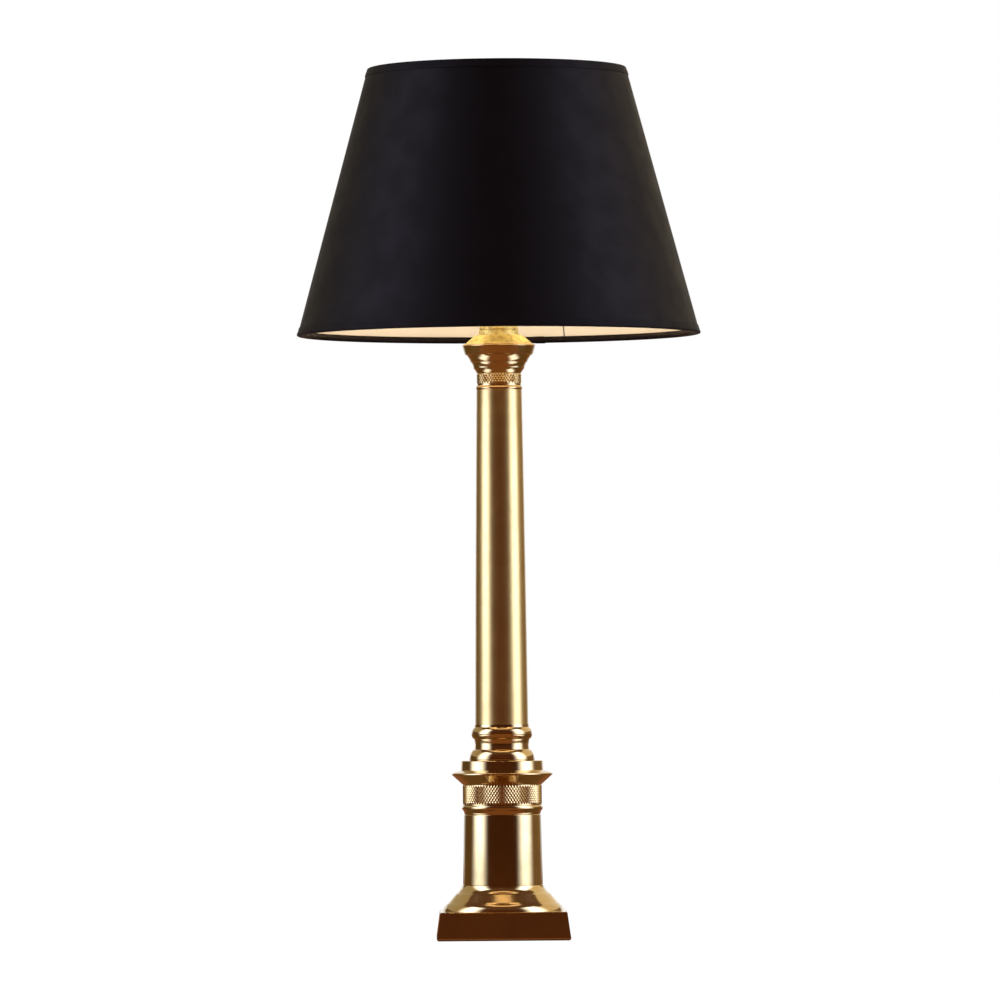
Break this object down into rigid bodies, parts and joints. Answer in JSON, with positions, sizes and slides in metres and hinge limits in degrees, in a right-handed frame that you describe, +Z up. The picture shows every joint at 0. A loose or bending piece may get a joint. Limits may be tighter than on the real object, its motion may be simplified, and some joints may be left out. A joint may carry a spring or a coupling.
{
  "type": "column table lamp",
  "caption": "Turned brass column table lamp on a square weighted plinth, with a tapered black fabric shade that lifts off a wire carrier.",
  "frame": {"origin": "centre of the underside, on the surface the lamp stands on", "axes": "+Z up along the column, -Y towards the front, +X to the right; the cord inlet is in the back"},
  "size_m": [0.35, 0.35, 0.754],
  "materials": {
    "antique_brass": "polished brass, aged and lacquered, warm brown in its reflections",
    "knurled_brass": "diamond-knurled brass, slightly duller than the plain brass",
    "holder_brass": "bright spun brass",
    "wire_brass": "brass-plated steel wire",
    "zinc_steel": "zinc-plated steel",
    "grey_iron": "rough cast iron",
    "felt": "dark wool felt",
    "porcelain": "unglazed white porcelain",
    "contact_nickel": "nickel-plated brass",
    "black_resin": "black moulded resin",
    "black_fabric": "satin-woven black fabric, laminated",
    "black_edging": "black fabric strip rolled over the edges",
    "cream_liner": "cream laminated liner",
    "white_wire": "white-coated steel wire",
    "opal_glass": "white opal glass",
    "cap_aluminium": "bright pressed aluminium",
    "clear_glass": "clear glass stem",
    "filament_coating": "yellow phosphor coating on thin rods",
    "support_nickel": "thin nickel wire"
  },
  "bodies": {
    "lamp_stand": {"felt_pad": "felt", "plinth": "antique_brass", "base_weight": "grey_iron", "cable_bush": "holder_brass", "cable_bush_nut": "zinc_steel", "tie_rod": "zinc_steel", "rod_nuts": "zinc_steel", "rod_washers": "zinc_steel", "earth_tag": "zinc_steel", "pedestal_foot": "antique_brass", "pedestal_drum": "antique_brass", "drum_bead": "antique_brass", "lower_knurled_collar": "knurled_brass", "dish_moulding": "antique_brass", "column_seat_disc": "antique_brass", "column_base_moulding": "antique_brass", "column_tube": "antique_brass", "astragal_ring": "antique_brass", "upper_knurled_collar": "knurled_brass", "capital": "antique_brass", "capital_cone": "antique_brass", "neck_ring_lower": "antique_brass", "neck_ring_upper": "antique_brass", "lampholder_cap": "holder_brass", "lampholder_shell": "holder_brass", "lampholder_core": "porcelain", "screw_shell": "contact_nickel", "centre_contact": "contact_nickel", "terminal_screws": "zinc_steel", "grub_screw": "zinc_steel", "carrier_base_ring": "wire_brass", "carrier_legs": "wire_brass", "carrier_top_ring": "wire_brass"},
    "push_switch": {"switch_bar": "black_resin"},
    "clamp_ring": {"shade_ring": "holder_brass"},
    "shade": {"shade_cover": "black_fabric", "shade_liner": "cream_liner", "shade_top_wire": "white_wire", "shade_bottom_wire": "white_wire", "shade_top_trim": "black_edging", "shade_bottom_trim": "black_edging", "fitter_ring": "white_wire", "fitter_arms": "white_wire"},
    "bulb": {"bulb_envelope": "opal_glass", "bulb_cap": "cap_aluminium", "bulb_cap_insulator": "black_resin", "bulb_contact": "contact_nickel", "bulb_stem": "clear_glass", "bulb_filaments": "filament_coating", "bulb_support_wires": "support_nickel"}
  },
  "joints": [
    {"name": "switch_push", "type": "slide", "parent": "lamp_stand", "child": "push_switch", "axis": [1, 0, 0], "range_m": [0, 0.005]},
    {"name": "clamp_ring_turn", "type": "hinge", "parent": "lamp_stand", "child": "clamp_ring", "pos_m": [0, 0, 0.5746], "axis": [0, 0, 1], "continuous": true},
    {"name": "shade_lift", "type": "slide", "parent": "lamp_stand", "child": "shade", "axis": [0, 0, 1], "range_m": [0, 0.24]},
    {"name": "bulb_lift", "type": "slide", "parent": "lamp_stand", "child": "bulb", "axis": [0, 0, 1], "range_m": [0, 0.12]}
  ]
}
